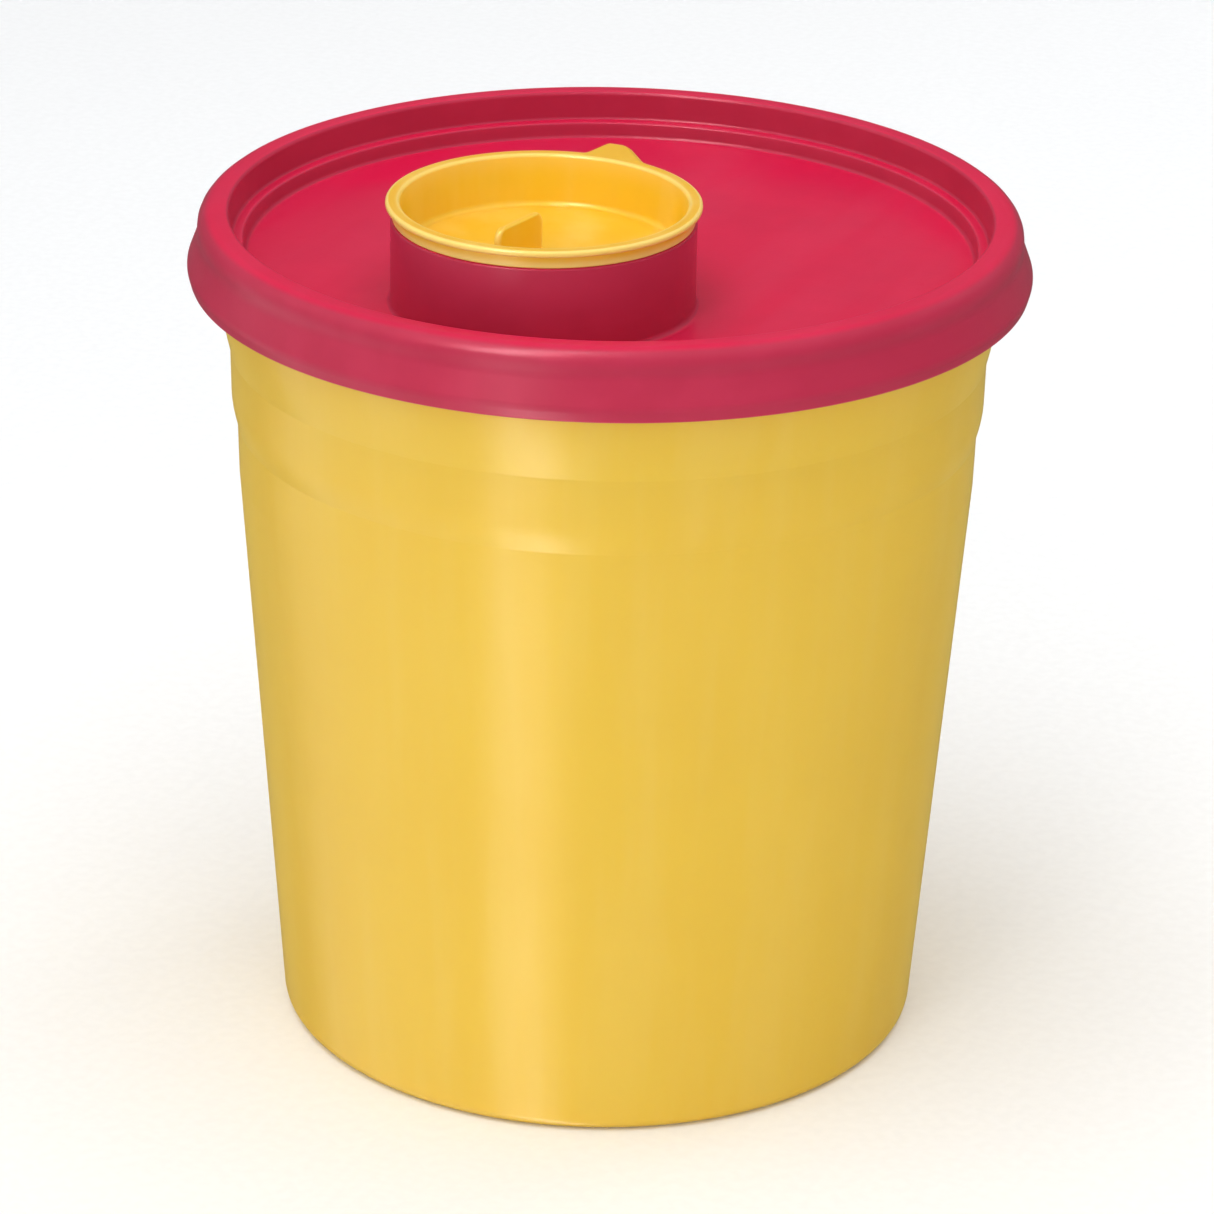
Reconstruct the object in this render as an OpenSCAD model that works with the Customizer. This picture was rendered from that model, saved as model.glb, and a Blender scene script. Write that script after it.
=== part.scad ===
// Round two-litre sharps container: a tapered yellow bucket, a crimson push-fit lid
// with a raised collar set off to one side, and a cup-shaped plug that closes the collar.
// Origin: centre of the underside of the bucket. +Z up. The collar lies towards -Y and
// the plug's lift tab points to the middle of the lid, towards +Y.

/* [Bucket] */
// Radius that the outer wall would have at the floor, without the bottom rounding
foot_r = 62.5; // [61:0.1:64]
// Outward lean of the wall, in millimetres of radius per millimetre of height
draft = 0.0715; // [0.065:0.0005:0.075]
// Thickness of the bucket's wall
bucket_wall = 1.5; // [1.2:0.1:1.8]
// Thickness of the bucket's floor
bucket_floor = 1.8; // [1.4:0.1:2.4]
// Rounding between the underside and the wall
foot_round = 2.6; // [2.2:0.1:5]
// Depth of the recessed panel inside the foot ring
foot_recess = 0.9; // [0.4:0.1:1.2]

/* [Lid] */
// Greatest radius, at the flared skirt
lid_r = 80; // [79.5:0.1:82]
// Height of the top of the lid's rim above the table
rim_z = 163.8; // [150:0.1:175]
// Depth of the flat panel below the rim
panel_depth = 8.8; // [8:0.1:9.2]
// Depth of the narrow ledge between the rim and the panel
ledge_depth = 5.7; // [5:0.1:6]
// Wall thickness of the lid
lid_wall = 1.2; // [1:0.1:1.3]

/* [Collar] */
// Distance from the lid's axis to the collar's axis
collar_offset = 31.3; // [28:0.1:33]
// Outer radius of the collar
collar_r = 28.1; // [27.5:0.1:30]
// Thickness of the collar's wall
collar_wall = 1.2; // [1:0.1:1.6]
// Height of the collar's mouth above the panel
collar_h = 16.2; // [14:0.1:20]

/* [Plug] */
// Width of the flange beyond the collar's outer wall
flange_lip = 0.9; // [0.5:0.1:2]
// Thickness of the flange
flange_t = 1.2; // [1:0.1:1.6]
// Height of the shoulder that stands on the collar's mouth
shoulder_h = 2.4; // [1.5:0.1:3]
// Inside depth of the cup below the flange
cup_depth = 9.8; // [9:0.1:12]
// Wall thickness of the cup
cup_wall = 1.1; // [0.9:0.1:1.4]
// Radial clearance between the plug's sealing bead and the collar
plug_clearance = 0.05; // [0.03:0.01:0.1]
// Length of the lift tab beyond the flange
tab_len = 7; // [5:0.1:9]
// Length of the finger web on the cup's floor
web_len = 14.5; // [10:0.1:18]
// Height of the finger web above the cup's floor
web_h = 8.2; // [6:0.1:8.8]
// Angle of the finger web from the plane of the lift tab
web_turn = 10; // [0:1:30]

/* [Hidden] */
$fn = 180;
overlap = 0.01; // depth to which joined shapes sink into each other

bucket_colour = [0.92, 0.76, 0.27];
lid_colour = [0.80, 0.17, 0.31];
plug_colour = [0.96, 0.74, 0.20];

// Heights on the bucket, from the floor up
band_z = rim_z - 52;         // the taper ends and a nearly upright band starts
step_z = rim_z - 41.6;       // crease where the wall steps outward
shoulder_z = rim_z - 35.3;   // the step has faded into a second upright band
flare_z = rim_z - 26.8;      // crease where the wall starts to open into the mouth
mouth_z = rim_z - 8.4;       // the mouth is at its full width
rim_gap = 0.3;               // air between the bucket's rim and the roof of the lid's channel
bucket_h = rim_z - lid_wall - rim_gap;
bead_foot_z = bucket_h - 4.4;
bead_z = bucket_h - 3.2;

// Outer radii on the bucket
band_r = foot_r + draft * band_z;
step_r = band_r + 0.25;
shoulder_r = step_r + 1.1;
flare_r = shoulder_r + 0.15;
mouth_r = lid_r - 5.3;
bead_r = lid_r - 3.7;
mouth_wall = bucket_wall - 0.3; // the wall thins towards the mouth
bead_round = 1.2;
foot_ring_w = 6;

// Heights and radii on the lid
panel_z = rim_z - panel_depth;
ledge_z = rim_z - ledge_depth;
skirt_z = rim_z - 13;
skirt_flare_z = skirt_z + 2.4;
snap_z = skirt_z + 5.8;      // height of the snap bead inside the skirt
panel_r = lid_r - 11.1;      // foot of the inner wall
ledge_in_r = lid_r - 10.6;   // head of the inner wall
ledge_out_r = lid_r - 8.5;   // foot of the rim's inner wall
rim_in_r = lid_r - 8;        // head of the rim's inner wall
neck_r = lid_r - 2.1;
neck_z = rim_z - 4.9;
crest_r = 3.2;         // rounding of the rim's outer shoulder
skirt_round = 1;       // rounding of the skirt's lower edge
edge_r = 0.5;          // rounding of small edges
snap_r = bead_r + 0.2; // the lid's snap bead, eased to slide past the bucket's bead

// Heights and radii on the plug
collar_bore = collar_r - collar_wall;
collar_top = panel_z + collar_h;
flange_z = collar_top + shoulder_h;
plug_top = flange_z + flange_t;
flange_r = collar_r + flange_lip;
shoulder_out_r = collar_r - 0.35;
seal_r = collar_bore - plug_clearance;
cup_r = seal_r - 0.25;
cup_floor_z = plug_top - cup_depth;
cup_in_r = cup_r - cup_wall;
cup_bevel = 1.2;      // at the outer edge of the cup's underside
cup_round = 1;        // between the cup's wall and its floor
cup_lead = 0.9;       // from the cup's wall to the flat of the flange, over the mouth's bevel
seat_gap = 0.02;      // air between the collar's mouth and the plug's shoulder
web_t = 1.3;
web_round = 2.4;
tab_left = 2.6;       // from the line of the tab to its tip's left corner
tab_right = 1.7;      // and to its tip's right corner
tab_left_root = 4.2;  // the same at the flange, where the right side runs out further
tab_right_root = 8.4;

// Points on a round stretch of an outline
function arc(centre, r, from, to, steps = 6) =
    [for (i = [0:steps]) let (a = from + (to - from) * i / steps) centre + r * [cos(a), sin(a)]];

// Smooth S from [r0, z0] to [r1, z1], leaving and arriving upright
function ease(r0, z0, r1, z1, steps = 6) =
    [for (i = [0:steps]) let (t = i / steps) [r0 + (r1 - r0) * (1 - cos(180 * t)) / 2, z0 + (z1 - z0) * t]];

// Swell from [r0, z0] to [r1, z1], leaving at a crease and arriving upright
function swell(r0, z0, r1, z1, steps = 6) =
    [for (i = [0:steps]) let (t = i / steps) [r0 + (r1 - r0) * sin(90 * t), z0 + (z1 - z0) * t]];

function moved_in(points, by) = [for (p = points) [p[0] - by, p[1]]];
function reversed(points) = [for (i = [len(points) - 1:-1:0]) points[i]];

// The outside of the bucket's wall, from the top of the taper to the second crease
function bucket_bands() = concat([[band_r, band_z]], swell(step_r, step_z, shoulder_r, shoulder_z));

// The outside of the bucket's wall, from the second crease to the mouth
function bucket_flare() = swell(flare_r, flare_z, mouth_r, mouth_z, 8);

module bucket() {
    foot_ring_r = foot_r - foot_round - foot_ring_w;
    inner_round = foot_round - bucket_wall + 1;
    inner_foot = foot_r - bucket_wall + draft * bucket_floor;
    color(bucket_colour)
        rotate_extrude() polygon(concat(
            [[0, foot_recess], [foot_ring_r, foot_recess], [foot_ring_r + foot_recess, 0]],
            arc([foot_r - foot_round, foot_round], foot_round, -90, -4),
            bucket_bands(),
            bucket_flare(),
            // rim bead that the lid is pushed over
            [[mouth_r, bead_foot_z], [bead_r, bead_z]],
            arc([bead_r - bead_round, bucket_h - bead_round], bead_round, 0, 90),
            [[mouth_r - mouth_wall + edge_r, bucket_h], [mouth_r - mouth_wall, bucket_h - edge_r]],
            reversed(moved_in(bucket_flare(), mouth_wall)),
            reversed(moved_in(bucket_bands(), bucket_wall)),
            arc([inner_foot - inner_round, bucket_floor + foot_recess + inner_round], inner_round, 0, -90),
            [[0, bucket_floor + foot_recess]]));
}

// The lid's shell, without the collar
module lid_shell() {
    rotate_extrude() polygon(concat(
        // upper side, from the middle outwards
        [[0, panel_z], [panel_r - edge_r, panel_z], [panel_r, panel_z + edge_r]],
        [[ledge_in_r, ledge_z - edge_r], [ledge_in_r + edge_r, ledge_z]],
        [[ledge_out_r - edge_r, ledge_z], [ledge_out_r, ledge_z + edge_r]],
        arc([rim_in_r + edge_r, rim_z - edge_r], edge_r, 180, 90, 4),
        arc([neck_r - crest_r, rim_z - crest_r], crest_r, 90, 0, 10),
        ease(neck_r, neck_z, lid_r, skirt_flare_z, 8),
        arc([lid_r - skirt_round, skirt_z + skirt_round], skirt_round, 0, -90, 4),
        // underside, back to the middle
        [[lid_r - lid_wall - 0.2, skirt_z], [lid_r - lid_wall - 0.3, skirt_flare_z]],
        [[snap_r + 0.5, snap_z - 0.8], [snap_r, snap_z - 0.2], [snap_r, snap_z + 0.2],
         [snap_r + 0.2, snap_z + 1]],
        arc([neck_r - crest_r, rim_z - crest_r], crest_r - lid_wall, 0, 90, 8),
        [[rim_in_r + lid_wall, rim_z - lid_wall], [ledge_out_r + lid_wall, ledge_z - lid_wall]],
        [[ledge_in_r + lid_wall, ledge_z - lid_wall], [panel_r + lid_wall, panel_z - lid_wall]],
        [[0, panel_z - lid_wall]]));
}

module lid() {
    root = 0.8; // sloped root between the collar and the panel
    color(lid_colour) difference() {
        union() {
            lid_shell();
            translate([0, -collar_offset, panel_z - lid_wall / 2])
                cylinder(r = collar_r, h = collar_h + lid_wall / 2);
            translate([0, -collar_offset, panel_z - overlap])
                cylinder(r1 = collar_r + root, r2 = collar_r, h = root);
        }
        translate([0, -collar_offset, panel_z - 2 * lid_wall])
            cylinder(r = collar_bore, h = collar_h + 4 * lid_wall);
        // bevel that guides the plug into the collar
        translate([0, -collar_offset, collar_top - edge_r])
            cylinder(r1 = collar_bore, r2 = collar_bore + edge_r, h = edge_r + overlap);
    }
}

// The plug's cup, shoulder and flange
module plug_cup() {
    under = cup_floor_z - cup_wall;
    seal_z = under + 3.6;
    seat_z = collar_top + seat_gap;
    rotate_extrude() polygon(concat(
        [[0, under], [cup_r - cup_bevel, under], [cup_r, under + cup_bevel]],
        // sealing bead that rides on the collar's bore
        [[cup_r, seal_z - 1.4], [seal_r, seal_z - 0.6], [seal_r, seal_z + 0.6], [cup_r, seal_z + 1.4]],
        [[cup_r, seat_z], [shoulder_out_r, seat_z]],
        [[shoulder_out_r, flange_z], [flange_r - flange_t / 4, flange_z]],
        arc([flange_r - flange_t / 2, flange_z + flange_t / 2], flange_t / 2, -60, 90, 6),
        [[cup_in_r + cup_lead, plug_top], [cup_in_r + cup_lead - 0.4, plug_top - 0.4]],
        arc([cup_in_r - cup_round, cup_floor_z + cup_round], cup_round, 0, -90, 4),
        [[0, cup_floor_z]]));
}

// Flat tab on the flange, with a narrow tip, a steep left side and a slanting right side
module lift_tab() {
    root_y = flange_r - 1.2;
    tip_y = flange_r + tab_len;
    translate([0, 0, flange_z]) linear_extrude(flange_t)
        polygon([[-tab_left_root, root_y], [-tab_left, tip_y - edge_r], [-tab_left + edge_r, tip_y],
                 [tab_right - edge_r, tip_y], [tab_right, tip_y - edge_r], [tab_right_root, root_y]]);
}

// Upright web on the cup's floor, pinched between two fingers to pull the plug
module finger_web() {
    start = 1;
    translate([0, 0, cup_floor_z - overlap]) rotate([90, 0, -web_turn])
        translate([0, 0, start]) rotate([0, 90, 0]) linear_extrude(web_t, center = true)
            polygon(concat(
                [[0, 0], [-web_len, 0]],
                arc([-web_len + web_round, web_h - web_round], web_round, 180, 90, 5),
                arc([-web_round, web_h - web_round], web_round, 90, 0, 5)));
}

module plug() {
    color(plug_colour) translate([0, -collar_offset, 0]) {
        plug_cup();
        lift_tab();
        finger_web();
    }
}

bucket();
lid();
plug();
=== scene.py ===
"""The looks of a round sharps container: a tapered yellow bucket, a crimson push-fit lid with a
collar, and a cup-shaped plug. Outlines are in millimetres, in the frame of the CAD model."""

import math

import bmesh
import bpy
from mathutils import Matrix, Vector


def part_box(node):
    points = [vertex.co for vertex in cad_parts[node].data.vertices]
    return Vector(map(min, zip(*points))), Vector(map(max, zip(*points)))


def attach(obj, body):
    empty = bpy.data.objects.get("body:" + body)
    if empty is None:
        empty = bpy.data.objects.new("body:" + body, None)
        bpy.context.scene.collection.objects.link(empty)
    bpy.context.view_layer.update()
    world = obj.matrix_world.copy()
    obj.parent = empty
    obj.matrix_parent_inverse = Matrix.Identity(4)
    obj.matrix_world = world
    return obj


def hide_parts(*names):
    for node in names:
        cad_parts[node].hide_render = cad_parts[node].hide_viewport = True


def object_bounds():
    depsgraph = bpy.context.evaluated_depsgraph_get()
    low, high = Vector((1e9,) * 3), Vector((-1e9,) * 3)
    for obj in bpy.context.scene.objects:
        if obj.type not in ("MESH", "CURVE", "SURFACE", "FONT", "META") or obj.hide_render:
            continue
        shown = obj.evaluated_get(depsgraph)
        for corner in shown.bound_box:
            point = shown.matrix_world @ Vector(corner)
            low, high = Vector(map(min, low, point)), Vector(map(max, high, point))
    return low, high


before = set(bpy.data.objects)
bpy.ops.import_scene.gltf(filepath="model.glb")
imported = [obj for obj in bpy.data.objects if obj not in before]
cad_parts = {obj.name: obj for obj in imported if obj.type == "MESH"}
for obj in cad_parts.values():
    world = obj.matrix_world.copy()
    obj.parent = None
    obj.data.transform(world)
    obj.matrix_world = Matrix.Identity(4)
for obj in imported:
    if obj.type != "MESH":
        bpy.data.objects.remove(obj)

MM = 0.001
CAD_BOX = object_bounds()


def box_mm(node):
    low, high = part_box(node)
    return low / MM, high / MM


# ---------------------------------------------------------------- sizes read from the frame
bucket_low, bucket_high = box_mm("bucket")
lid_low, lid_high = box_mm("lid")
plug_low, plug_high = box_mm("plug")

LID_R = max(lid_high.x, lid_high.y)      # flared skirt
SKIRT_Z = lid_low.z
COLLAR_TOP = lid_high.z
BUCKET_TOP = bucket_high.z
BEAD_R = max(bucket_high.x, bucket_high.y)
FLANGE_R = plug_high.x
COLLAR_Y = plug_low.y + FLANGE_R         # the collar's axis
PLUG_TOP = plug_high.z
TAB_TIP = plug_high.y - COLLAR_Y         # from the collar's axis to the end of the lift tab

# ---------------------------------------------------------------- sizes that follow from them
LID_WALL = 1.2
RIM_Z = SKIRT_Z + 13
PANEL_Z = RIM_Z - 8.8
LEDGE_Z = RIM_Z - 5.7
PANEL_R = LID_R - 11.1
LEDGE_IN_R = LID_R - 10.6
LEDGE_OUT_R = LID_R - 8.5
RIM_IN_R = LID_R - 8
NECK_R = LID_R - 2.1
NECK_Z = RIM_Z - 4.9

BUCKET_WALL = 1.5
MOUTH_WALL = BUCKET_WALL - 0.3
BUCKET_FLOOR = 1.8
FOOT_RECESS = 0.9
FOOT_ROUND = 2.6
FOOT_R = BEAD_R - 13.8
DRAFT = 0.0715
BAND_Z = RIM_Z - 52                      # the taper ends and a nearly upright band starts
STEP_Z = RIM_Z - 41.6                    # crease where the wall steps outward
SHOULDER_Z = RIM_Z - 35.3                # the step has faded into a second upright band
FLARE_Z = RIM_Z - 26.8                   # crease where the wall starts to open into the mouth
MOUTH_Z = RIM_Z - 8.4
BAND_R = FOOT_R + DRAFT * BAND_Z
STEP_R = BAND_R + 0.25
SHOULDER_R = STEP_R + 1.1
FLARE_R = SHOULDER_R + 0.15
MOUTH_R = BEAD_R - 1.6

COLLAR_R = FLANGE_R - 0.9
BORE_R = COLLAR_R - 1.2
FLANGE_T = 1.2
FLANGE_Z = PLUG_TOP - FLANGE_T
SEAL_R = BORE_R - 0.05
CUP_R = SEAL_R - 0.25
CUP_WALL = 1.1
CUP_FLOOR_Z = PLUG_TOP - 9.8
TAB_LEFT = (4.2, 2.6)                    # from the tab's line to its left side, at root and tip
TAB_RIGHT = (8.4, 1.7)                   # and to its right side
TAB_BEVEL = 1.3                          # slope along the right side

SIDES = 300


# ---------------------------------------------------------------- outlines
def rounded(corners, steps=5):
    """The outline through corners (radius, height, rounding), each turned into an arc of its
    rounding."""
    points = []
    for i, (r, z, rounding) in enumerate(corners):
        here = Vector((r, z))
        if rounding == 0 or i in (0, len(corners) - 1):
            points.append(here)
            continue
        back = (Vector(corners[i - 1][:2]) - here).normalized()
        on = (Vector(corners[i + 1][:2]) - here).normalized()
        inside = back.angle(on)
        cut = rounding / math.tan(inside / 2)
        centre = here + (back + on).normalized() * rounding / math.sin(inside / 2)
        start, end = here + back * cut - centre, here + on * cut - centre
        sweep = math.atan2(start.cross(end), start.dot(end))
        for k in range(steps + 1):
            points.append(centre + Matrix.Rotation(sweep * k / steps, 2) @ start)
    return points


def swell(r0, z0, r1, z1, steps=8):
    """Points that leave a crease at (r0, z0) and arrive upright at (r1, z1)."""
    shares = [i / steps for i in range(1, steps + 1)]
    return [(r0 + (r1 - r0) * math.sin(math.pi / 2 * t), z0 + (z1 - z0) * t, 0) for t in shares]


def bucket_outline():
    """Gate mark, underside, foot ring, wall with its two creased steps, rim bead, inside wall and
    floor."""
    def side(inset, mouth_inset, crease):
        bands = [(BAND_R - inset, BAND_Z, 30), (STEP_R - inset, STEP_Z, crease)]
        bands += swell(STEP_R - inset, STEP_Z, SHOULDER_R - inset, SHOULDER_Z)
        flare = [(FLARE_R - mouth_inset, FLARE_Z, crease)]
        flare += swell(FLARE_R - mouth_inset, FLARE_Z, MOUTH_R - mouth_inset, MOUTH_Z, 12)
        return bands + flare

    inner_foot_z = BUCKET_FLOOR + FOOT_RECESS
    return rounded(
        [(0, 0.5, 0), (1.1, 0.5, 0.25), (1.5, FOOT_RECESS, 0.3),
         (FOOT_R - FOOT_ROUND - 6, FOOT_RECESS, 0.5), (FOOT_R - FOOT_ROUND - 5.1, 0, 0.6),
         (FOOT_R, 0, FOOT_ROUND)]
        + side(0, 0, 1.5)
        + [(MOUTH_R, BUCKET_TOP - 4.4, 0.5), (BEAD_R, BUCKET_TOP - 3.2, 0.6), (BEAD_R, BUCKET_TOP, 1.2),
           (MOUTH_R - MOUTH_WALL, BUCKET_TOP, 0.5)]
        + side(BUCKET_WALL, MOUTH_WALL, 0.8)[::-1]
        + [(FOOT_R - BUCKET_WALL + DRAFT * inner_foot_z, inner_foot_z, 3.1), (0, inner_foot_z, 0)])


def lid_rings():
    """The lid as a closed run of circles: out of the bore, over the collar, across the panel, over
    the rim, under the skirt and back. Each is (radius, height, y of its centre)."""
    under_z = PANEL_Z - LID_WALL
    snap_r = BEAD_R + 0.2
    collar = rounded([(BORE_R + 2, under_z, 0), (BORE_R, under_z, 0.3), (BORE_R, COLLAR_TOP, 0.4),
                      (COLLAR_R, COLLAR_TOP, 0.4), (COLLAR_R, PANEL_Z, 1.1), (COLLAR_R + 2, PANEL_Z, 0)])
    rim = rounded([(PANEL_R - 3, PANEL_Z, 0), (PANEL_R, PANEL_Z, 0.9), (LEDGE_IN_R, LEDGE_Z, 0.5),
                   (LEDGE_OUT_R, LEDGE_Z, 0.7), (RIM_IN_R, RIM_Z, 0.9), (NECK_R, RIM_Z, 3.3),
                   (NECK_R, NECK_Z, 5), (LID_R, SKIRT_Z + 2.6, 2.6), (LID_R - 0.7, SKIRT_Z, 0.6),
                   (LID_R - 1.7, SKIRT_Z, 0.3), (LID_R - 1.6, SKIRT_Z + 2.6, 1.5),
                   (snap_r, SKIRT_Z + 5.4, 0.6), (snap_r + 0.25, SKIRT_Z + 6.8, 0.5),
                   (NECK_R - LID_WALL, RIM_Z - LID_WALL, 2.1),
                   (RIM_IN_R + LID_WALL, RIM_Z - LID_WALL, 0.3),
                   (LEDGE_OUT_R + LID_WALL, LEDGE_Z - LID_WALL, 0.3),
                   (LEDGE_IN_R + LID_WALL, LEDGE_Z - LID_WALL, 0.3),
                   (PANEL_R + LID_WALL, under_z, 0.5), (PANEL_R - 3, under_z, 0)], steps=6)
    return ([(p.x, p.y, COLLAR_Y) for p in collar]
            + across((COLLAR_R + 2, PANEL_Z, COLLAR_Y), (PANEL_R - 3, PANEL_Z, 0))
            + [(p.x, p.y, 0) for p in rim]
            + across((PANEL_R - 3, under_z, 0), (BORE_R + 2, under_z, COLLAR_Y)))


def across(start, end, count=6):
    """Circles on the flat panel between one circle and another with a different centre."""
    shares = [i / (count + 1) for i in range(1, count + 1)]
    return [tuple(a + (b - a) * t for a, b in zip(start, end)) for t in shares]


def plug_outline():
    """Underside of the cup, sealing bead, shoulder, flange, inside of the cup and its floor. The
    third value is None, or on the edge that carries the lift tab how far the tab's bevel has risen."""
    under = CUP_FLOOR_Z - CUP_WALL
    shoulder_r = COLLAR_R - 0.35
    seat = COLLAR_TOP + 0.02
    cup_in_r = CUP_R - CUP_WALL
    floor = [(cup_in_r * share, CUP_FLOOR_Z, 0) for share in (0.85, 0.7, 0.4, 0.15, 0)]
    outside = rounded([(0, under, 0), (CUP_R, under, 1.2), (CUP_R, under + 2.2, 0.8),
                       (SEAL_R, under + 3, 0.4), (SEAL_R, under + 4.2, 0.4), (CUP_R, under + 5, 0.8),
                       (CUP_R, seat, 0.2), (shoulder_r, seat, 0.3), (shoulder_r, FLANGE_Z, 0.25),
                       (shoulder_r + 0.6, FLANGE_Z, 0)])
    edge = rounded([(FLANGE_R - 0.7, FLANGE_Z, 0), (FLANGE_R, FLANGE_Z, 0.45),
                    (FLANGE_R, PLUG_TOP, 0.55), (FLANGE_R - 0.7, PLUG_TOP, 0)])
    inside = rounded([(FLANGE_R - 1.1, PLUG_TOP, 0), (cup_in_r + 0.9, PLUG_TOP, 0.7),
                      (cup_in_r, CUP_FLOOR_Z, 1.3)] + floor, steps=7)
    bevel_foot = PLUG_TOP - 0.6
    return ([(p.x, p.y, None) for p in outside]
            + [(p.x, p.y, max(p.y - bevel_foot, 0) / (PLUG_TOP - bevel_foot)) for p in edge]
            + [(p.x, p.y, None) for p in inside])


def soft_min(a, b, k):
    """The smaller of two lengths, with the corner where they cross rounded over about k."""
    h = max(k - abs(a - b), 0) / k
    return min(a, b) - h * h * k / 4


def tab_reach(angle, bevel):
    """How far the flange's edge stands beyond its circle at this angle, to make the lift tab. The
    bevel, from 0 to 1, draws the right side in."""
    turned = math.remainder(math.pi / 2 - angle, 2 * math.pi)
    if abs(turned) > math.pi / 4:
        return 0.0
    root, tip = TAB_RIGHT if turned > 0 else TAB_LEFT
    if turned > 0:
        root, tip = root - TAB_BEVEL * bevel, tip - 0.6 * TAB_BEVEL * bevel
    off = abs(turned)
    root_y = FLANGE_R - 1.2
    lean = (root - tip) / (TAB_TIP - root_y)
    side = (root + lean * root_y) / (math.sin(off) + lean * math.cos(off))
    tab = soft_min(TAB_TIP / math.cos(off), side, 1.4)
    return -soft_min(-tab, -FLANGE_R, 1.8) - FLANGE_R


# ---------------------------------------------------------------- meshes
def skin(name, rings, angles, loop=False):
    """A closed mesh over circles (radius, height, y of the centre, bevel of the tab or None)."""
    mesh = bmesh.new()
    rows = []
    for radius, z, centre_y, bevel in rings:
        if radius == 0:
            rows.append([mesh.verts.new((0, centre_y * MM, z * MM))])
            continue
        row = []
        for angle in angles:
            r = radius if bevel is None else radius + tab_reach(angle, bevel)
            x = r * math.cos(angle)
            y = centre_y + r * math.sin(angle)
            row.append(mesh.verts.new((x * MM, y * MM, z * MM)))
        rows.append(row)
    for here, there in zip(rows, rows[1:] + (rows[:1] if loop else [])):
        for i in range(len(angles)):
            j = (i + 1) % len(angles)
            corners = [here[i % len(here)], here[j % len(here)],
                       there[j % len(there)], there[i % len(there)]]
            mesh.faces.new(list(dict.fromkeys(corners)))
    return to_object(name, mesh)


def to_object(name, mesh):
    """Turns a bmesh into a smooth-shaded object in the scene."""
    bmesh.ops.recalc_face_normals(mesh, faces=mesh.faces)
    data = bpy.data.meshes.new(name)
    mesh.to_mesh(data)
    mesh.free()
    data.shade_smooth()
    piece = bpy.data.objects.new(name, data)
    bpy.context.scene.collection.objects.link(piece)
    return piece


def even_angles(count):
    return [2 * math.pi * i / count for i in range(count)]


def plug_angles():
    """Angles round the plug, close together where the lift tab is."""
    tab_half = math.radians(20)
    fine = [math.pi / 2 + tab_half * (2 * i / 120 - 1) for i in range(120)]
    rest = 2 * math.pi - 2 * tab_half
    return fine + [math.pi / 2 + tab_half + rest * i / 240 for i in range(240)]


def finger_web():
    """The upright web on the cup's floor, lofted from level slices: a flared foot, flat faces,
    rounded ends at the top and a rounded top edge."""
    length = 14.5
    height = 8.2
    thickness = 1.3
    start = 1.0                              # from the collar's axis
    turn = math.radians(10)                  # from the plane of the lift tab
    foot = 0.8                               # rounding where it meets the floor
    end_round = 2.4
    edge_round = 0.45
    mesh = bmesh.new()
    rows = []
    levels = [-0.6, 0, 0.1, 0.2, 0.35, 0.55, foot]
    levels += [height - end_round * (1 - i / 10) for i in range(11)]
    for level in levels:
        up = min(max(level, 0), foot) / foot
        flare = foot * (1 - math.sqrt(1 - (1 - up) ** 2))
        from_corner = max(level - (height - end_round), 0)
        shorter = end_round - math.sqrt(max(end_round ** 2 - from_corner ** 2, 0))
        from_edge = max(level - (height - edge_round), 0)
        thinner = edge_round - math.sqrt(max(edge_round ** 2 - from_edge ** 2, 0))
        half_t = thickness / 2 + flare - thinner
        half_l = max(length / 2 + flare - shorter - half_t, 0.1)
        row = []
        for end in (1, -1):
            row.append((end * 0.85 * half_l, -end * half_t))
            for i in range(9):
                a = math.pi * (i / 8 - 0.5)
                row.append((end * (half_l + half_t * math.cos(a)), end * half_t * math.sin(a)))
            row.append((end * 0.85 * half_l, end * half_t))
        rows.append([mesh.verts.new((x, y, level)) for x, y in row])
    for here, there in zip(rows, rows[1:]):
        for i in range(len(here)):
            j = (i + 1) % len(here)
            mesh.faces.new([here[i], here[j], there[j], there[i]])
    mesh.faces.new(rows[0])
    mesh.faces.new(rows[-1])
    middle = Vector((0, COLLAR_Y, CUP_FLOOR_Z))
    along = Matrix.Rotation(-math.pi / 2 - turn, 4, "Z")
    place = Matrix.Scale(MM, 4) @ Matrix.Translation(middle) @ along
    place = place @ Matrix.Translation((start + length / 2, 0, 0))
    bmesh.ops.transform(mesh, matrix=place, verts=mesh.verts)
    return to_object("finger_web", mesh)


def join_solids(base, tool):
    """Makes base the union of both solids and removes tool."""
    union = base.modifiers.new("join", "BOOLEAN")
    union.operation = "UNION"
    union.solver = "EXACT"
    union.object = tool
    graph = bpy.context.evaluated_depsgraph_get()
    joined = bpy.data.meshes.new_from_object(base.evaluated_get(graph), depsgraph=graph)
    base.modifiers.clear()
    base.data = joined
    bpy.data.objects.remove(tool)


def mark_edges(data):
    """Stores at each point how sharply the surface bends outward there: 1 at a rounding of 0.5 mm
    or less, 0 where it is flat or hollow."""
    full_round = 0.5 * MM
    shortest = 0.05 * MM
    bends = [0.0] * len(data.vertices)
    for edge in data.edges:
        here, there = (data.vertices[i] for i in edge.vertices)
        along = there.co - here.co
        length = max(along.length, shortest)
        bend = full_round * (there.normal - here.normal).dot(along) / length ** 2
        for i in edge.vertices:
            bends[i] = max(bends[i], min(bend, 1.0))
    data.attributes.new("bend", "FLOAT", "POINT").data.foreach_set("value", bends)


def finish_piece(piece, node, material):
    """Gives a piece its material and flat-weighted normals, and lets it stand for its CAD node."""
    for face in piece.data.polygons:
        face.use_smooth = True
    mark_edges(piece.data)
    weighted = piece.modifiers.new("weighted_normals", "WEIGHTED_NORMAL")
    weighted.keep_sharp = True
    piece.data.materials.clear()
    piece.data.materials.append(material)
    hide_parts(node)
    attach(piece, node)


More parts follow.
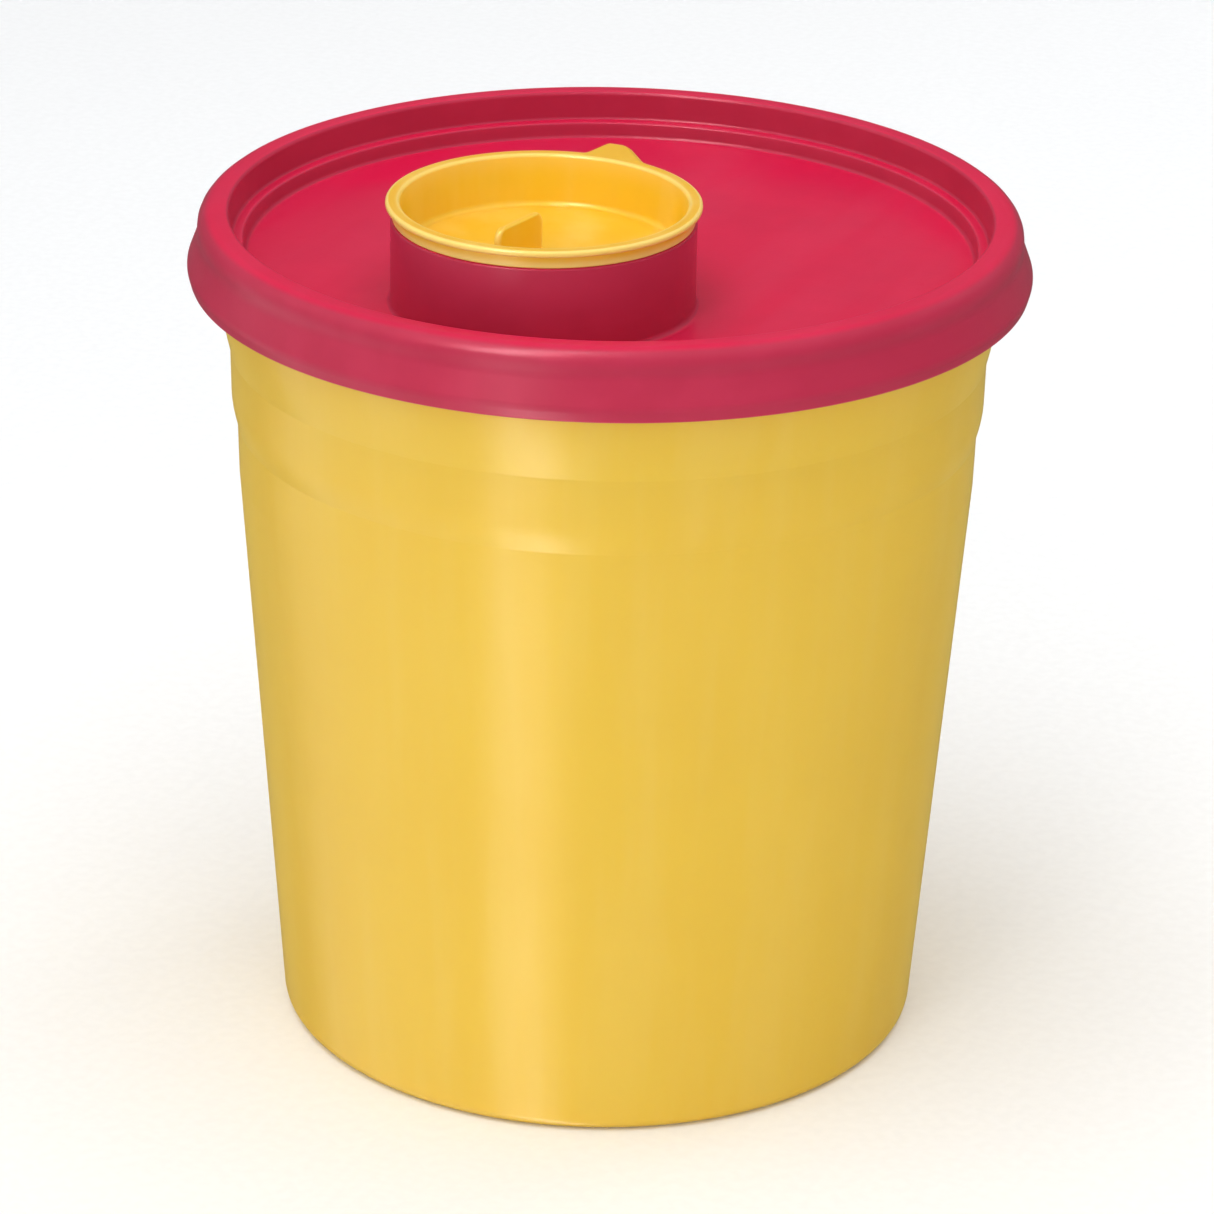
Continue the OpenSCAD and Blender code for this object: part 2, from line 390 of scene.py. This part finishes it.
# ---------------------------------------------------------------- materials
class Nodes:
    """A few shorthands for building a node tree."""

    def __init__(self, owner, shader, where):
        owner.use_nodes = True
        self.tree = owner.node_tree
        self.shader = self.tree.nodes[shader]
        self.where = self.add("ShaderNodeTexCoord").outputs[where]

    def add(self, kind, **values):
        node = self.tree.nodes.new(kind)
        for key, value in values.items():
            setattr(node, key, value)
        return node

    def feed(self, socket, value):
        if hasattr(value, "links"):
            self.tree.links.new(value, socket)
        else:
            socket.default_value = value

    def noise(self, size_mm, detail=2.0, stretch=(1, 1, 1), roughness=0.5):
        """Noise with features of this size, from 0 to 1."""
        mapping = self.add("ShaderNodeMapping")
        mapping.inputs["Scale"].default_value = stretch
        self.feed(mapping.inputs["Vector"], self.where)
        noise = self.add("ShaderNodeTexNoise")
        self.feed(noise.inputs["Vector"], mapping.outputs["Vector"])
        noise.inputs["Scale"].default_value = 1 / (size_mm * MM)
        noise.inputs["Detail"].default_value = detail
        noise.inputs["Roughness"].default_value = roughness
        return noise.outputs["Fac"]

    def ramp(self, value, low, high, to_low=0.0, to_high=1.0):
        """A smooth rise from to_low to to_high as value goes from low to high."""
        node = self.add("ShaderNodeMapRange", interpolation_type="SMOOTHSTEP")
        limits = {"From Min": low, "From Max": high, "To Min": to_low, "To Max": to_high}
        for key, number in limits.items():
            self.feed(node.inputs[key], number)
        self.feed(node.inputs["Value"], value)
        return node.outputs["Result"]

    def math(self, operation, a, b=0.0):
        node = self.add("ShaderNodeMath", operation=operation)
        self.feed(node.inputs[0], a)
        self.feed(node.inputs[1], b)
        return node.outputs[0]

    def mix(self, share, a, b):
        node = self.add("ShaderNodeMix", data_type="RGBA")
        self.feed(node.inputs["Factor"], share)
        self.feed(node.inputs["A"], a)
        self.feed(node.inputs["B"], b)
        return node.outputs["Result"]


# colour of the painted warm rim light
PAINTED_RIM_LIGHT = (1, 0.66, 0.08, 1)


def moulded_plastic(name, colour, painted_top_shading, deep, pale, gloss, shine, peel, glow, painted_rim_light=0.0,
                    edge_wear_and_highlight=0.25, streak=(1, 1, 0.08)):
    """Injection-moulded polypropylene: a painted shading colour where it faces up, lighter or darker than
    its sides in place of the light from above, clouds and faint flow streaks in it, orange-peel skin,
    fine scuffs that dull it, and sharp outward edges painted a little paler, partly as rubbed wear and
    partly as a painted highlight.
    A warm rim light is painted into its colour where it is seen edge on, as strongly as its rim amount
    asks."""
    material = bpy.data.materials.new(name)
    n = Nodes(material, "Principled BSDF", "Object")
    clouds = n.ramp(n.noise(38, 3, roughness=0.6), 0.35, 0.68)
    streaks = n.ramp(n.noise(9, 3, stretch=streak), 0.4, 0.7)
    specks = n.ramp(n.noise(0.35, 1), 0.6, 0.78)
    geometry = n.add("ShaderNodeNewGeometry")
    facing = n.add("ShaderNodeSeparateXYZ")
    n.feed(facing.inputs["Vector"], geometry.outputs["Normal"])
    # painted shading: faces that look up take another colour, lighter or darker, in place of the light
    # from above
    tone = n.mix(n.ramp(facing.outputs["Z"], 0.75, 0.97), colour, painted_top_shading)
    tone = n.mix(n.math("MULTIPLY", clouds, 0.30), tone, deep)
    tone = n.mix(n.math("MULTIPLY", streaks, 0.16), tone, pale)
    tone = n.mix(n.math("MULTIPLY", specks, 0.10), tone, deep)
    # sharp outward edges painted paler: partly rubbed wear, partly a painted highlight
    edges = n.ramp(n.add("ShaderNodeAttribute", attribute_name="bend").outputs["Fac"], 0.25, 0.9)
    tone = n.mix(n.math("MULTIPLY", edges, edge_wear_and_highlight), tone, pale)
    # painted rim light: warmer where the surface is seen edge on, in place of light shining through the
    # thin wall
    rim_light_share = n.ramp(n.add("ShaderNodeLayerWeight").outputs["Facing"], 0.62, 0.92)
    tone = n.mix(n.math("MULTIPLY", rim_light_share, painted_rim_light), tone, PAINTED_RIM_LIGHT)

    scuffs = n.ramp(n.noise(0.9, 4, stretch=(1, 0.25, 2.2), roughness=0.75), 0.60, 0.74)
    handled = n.ramp(n.noise(30, 2), 0.45, 0.65)
    scuffed = n.math("MULTIPLY", scuffs, handled)
    rough = n.math("ADD", gloss, n.math("MULTIPLY", scuffed, 0.14))
    rough = n.math("ADD", rough, n.math("MULTIPLY", clouds, 0.05))

    skin_height = n.math("ADD", n.noise(1.1, 2), n.math("MULTIPLY", n.noise(6, 1), 2.2))
    skin_height = n.math("SUBTRACT", skin_height, n.math("MULTIPLY", scuffed, 0.6))
    bump = n.add("ShaderNodeBump")
    bump.inputs["Strength"].default_value = peel
    bump.inputs["Distance"].default_value = 0.05 * MM
    n.feed(bump.inputs["Height"], skin_height)

    s = n.shader.inputs
    s["Base Color"].default_value = colour
    n.feed(s["Base Color"], tone)
    n.feed(s["Roughness"], rough)
    n.feed(s["Normal"], bump.outputs["Normal"])
    s["IOR"].default_value = 1.49
    s["Specular IOR Level"].default_value = shine
    s["Subsurface Weight"].default_value = glow
    s["Subsurface Radius"].default_value = (1.0, 0.6, 0.15)
    s["Subsurface Scale"].default_value = 3.5 * MM
    return material


def linear(r, g, b):
    """A colour given as 0 to 255 screen values, as Blender's linear light."""
    def one(v):
        v /= 255
        return v / 12.92 if v <= 0.04045 else ((v + 0.055) / 1.055) ** 2.4
    return (one(r), one(g), one(b), 1.0)


# ---------------------------------------------------------------- the object
bucket_plastic = moulded_plastic(
    "bucket_plastic", colour=linear(237, 194, 64), painted_top_shading=linear(242, 200, 74), deep=linear(231, 185, 54),
    pale=linear(244, 210, 112), gloss=0.28, shine=0.5, peel=0.25, glow=0.15, painted_rim_light=0.9)
lid_plastic = moulded_plastic(
    "lid_plastic", colour=linear(182, 46, 74), painted_top_shading=linear(212, 18, 68), deep=linear(176, 32, 64),
    pale=linear(208, 60, 92), gloss=0.28, shine=0.3, peel=0.18, glow=0.10, streak=(1, 0.1, 1))
plug_plastic = moulded_plastic(
    "plug_plastic", colour=linear(246, 200, 44), painted_top_shading=linear(238, 182, 42), deep=linear(238, 184, 34),
    pale=linear(255, 226, 140), gloss=0.28, shine=0.6, peel=0.16, glow=0.14, edge_wear_and_highlight=0.6)

bucket = skin("bucket_shell", [(p.x, p.y, 0, None) for p in bucket_outline()], even_angles(SIDES))
finish_piece(bucket, "bucket", bucket_plastic)

lid = skin("lid_shell", [(*ring, None) for ring in lid_rings()], even_angles(SIDES), loop=True)
finish_piece(lid, "lid", lid_plastic)

plug = skin("closure_plug", [(r, z, COLLAR_Y, bevel) for r, z, bevel in plug_outline()], plug_angles())
join_solids(plug, finger_web())
finish_piece(plug, "plug", plug_plastic)


# ---------------------------------------------------------------- stage, light and camera
HEIGHT = CAD_BOX[1].z - CAD_BOX[0].z
AIM = Vector((0, 0, CAD_BOX[0].z + 0.4671 * HEIGHT))
CAMERA_AZIMUTH, CAMERA_ELEVATION, CAMERA_ROLL = 23.0, 23.37, 1.1
CAMERA_DISTANCE = 5.58 * HEIGHT
CAMERA_SHIFT = 0.0037 * HEIGHT           # sideways, so that the bin stands a little left of the middle
LENS_MM, SENSOR_MM = 148.3, 36.0


def outward(azimuth, elevation):
    """Unit vector from the object towards something at this azimuth and elevation, in degrees."""
    a, e = math.radians(azimuth), math.radians(elevation)
    return Vector((math.sin(a) * math.cos(e), -math.cos(a) * math.cos(e), math.sin(e)))


def softbox(name, azimuth, elevation, distance, width, height, power):
    """A rectangular area light that faces the object and isn't mirrored by it; azimuth is measured
    from the camera's."""
    data = bpy.data.lights.new(name, "AREA")
    data.shape = "RECTANGLE"
    data.size, data.size_y = width, height
    data.energy = power
    light = bpy.data.objects.new(name, data)
    back = outward(CAMERA_AZIMUTH + azimuth, elevation)
    light.location = AIM + back * distance
    light.rotation_mode = "QUATERNION"
    light.rotation_quaternion = back.to_track_quat("Z", "Y")
    light.visible_glossy = False
    bpy.context.scene.collection.objects.link(light)


def make_floor():
    """A wide pale floor, which the object doesn't mirror."""
    data = bpy.data.meshes.new("floor")
    half = 6.0
    corners = [(-half, -half, 0), (half, -half, 0), (half, half, 0), (-half, half, 0)]
    data.from_pydata(corners, [], [(0, 1, 2, 3)])
    floor = bpy.data.objects.new("floor", data)
    bpy.context.scene.collection.objects.link(floor)
    material = bpy.data.materials.new("pale_floor")
    n = Nodes(material, "Principled BSDF", "Object")
    grain = n.ramp(n.noise(2.5, 3), 0.3, 0.7)
    n.feed(n.shader.inputs["Base Color"], n.mix(grain, (0.94, 0.95, 0.96, 1), (0.97, 0.98, 0.99, 1)))
    n.shader.inputs["Roughness"].default_value = 0.85
    data.materials.append(material)
    floor.visible_glossy = False


def make_camera():
    data = bpy.data.cameras.new("camera")
    data.lens, data.sensor_width = LENS_MM, SENSOR_MM
    data.clip_start, data.clip_end = 0.05, 50
    camera = bpy.data.objects.new("camera", data)
    back = outward(CAMERA_AZIMUTH, CAMERA_ELEVATION)
    level = back.to_track_quat("Z", "Y")
    roll = Matrix.Rotation(math.radians(CAMERA_ROLL), 4, "Z").to_quaternion()
    camera.rotation_mode = "QUATERNION"
    camera.rotation_quaternion = level @ roll
    camera.location = AIM + back * CAMERA_DISTANCE + (level @ Vector((1, 0, 0))) * CAMERA_SHIFT
    bpy.context.scene.collection.objects.link(camera)
    bpy.context.scene.camera = camera


def make_world(room, ceiling, screen, strip, lamp):
    """The studio as the plastic mirrors it: a dim room with a paler ceiling, a wide pale screen on
    the left and, between it and the camera, a bright strip. Both stand mostly below the table. A
    narrow lamp above the strip shows only in rounded edges."""
    world = bpy.data.worlds.new("studio")
    n = Nodes(world, "Background", "Generated")
    level = n.add("ShaderNodeVectorMath", operation="MULTIPLY")
    n.feed(level.inputs[0], n.where)
    level.inputs[1].default_value = (1, 1, 0)
    heading = n.add("ShaderNodeVectorMath", operation="NORMALIZE")
    n.feed(heading.inputs[0], level.outputs["Vector"])
    height = n.add("ShaderNodeSeparateXYZ")
    n.feed(height.inputs["Vector"], n.where)

    def towards(azimuth, half_width, softness):
        """1 inside this range of azimuth, measured from the camera's, and 0 outside it."""
        facing = n.add("ShaderNodeVectorMath", operation="DOT_PRODUCT")
        n.feed(facing.inputs[0], heading.outputs["Vector"])
        facing.inputs[1].default_value = outward(CAMERA_AZIMUTH + azimuth, 0)
        edge, core = half_width + softness, half_width - softness
        return n.ramp(facing.outputs["Value"], math.cos(math.radians(edge)), math.cos(math.radians(core)))

    light = n.math("ADD", room, n.ramp(height.outputs["Z"], 0.1, 0.9, 0, ceiling))
    below = n.ramp(height.outputs["Z"], -0.3, 0.05, 1, 0.55)
    lower = n.ramp(height.outputs["Z"], -0.56, -0.78, strip, 2.6 * strip)
    stands = n.math("ADD", n.math("MULTIPLY", towards(-85, 33, 6), screen),
                    n.math("MULTIPLY", towards(-27, 9, 4), lower))
    light = n.math("ADD", light, n.math("MULTIPLY", stands, below))
    upper = n.ramp(height.outputs["Z"], 0.45, 0.6, 0, lamp)
    mirrored = n.add("ShaderNodeLightPath").outputs["Is Glossy Ray"]
    glint = n.math("MULTIPLY", n.math("MULTIPLY", towards(-34, 8, 4), upper), mirrored)
    light = n.math("ADD", light, glint)
    n.shader.inputs["Color"].default_value = (1, 1, 1, 1)
    n.feed(n.shader.inputs["Strength"], light)
    world.cycles.sampling_method = "NONE"    # found by reflected rays, which pass through the floor
    bpy.context.scene.world = world


make_floor()
make_camera()
make_world(0.13, 0.40, 0.75, 3.0, 20.0)
softbox("overhead", 0, 84, 1.5, 1.6, 1.6, 15.0)
softbox("front", 10, 14, 1.6, 1.4, 1.0, 5.2)
softbox("rim", 128, 12, 1.6, 0.5, 1.0, 4.5)
bpy.context.scene.view_settings.view_transform = "Standard"
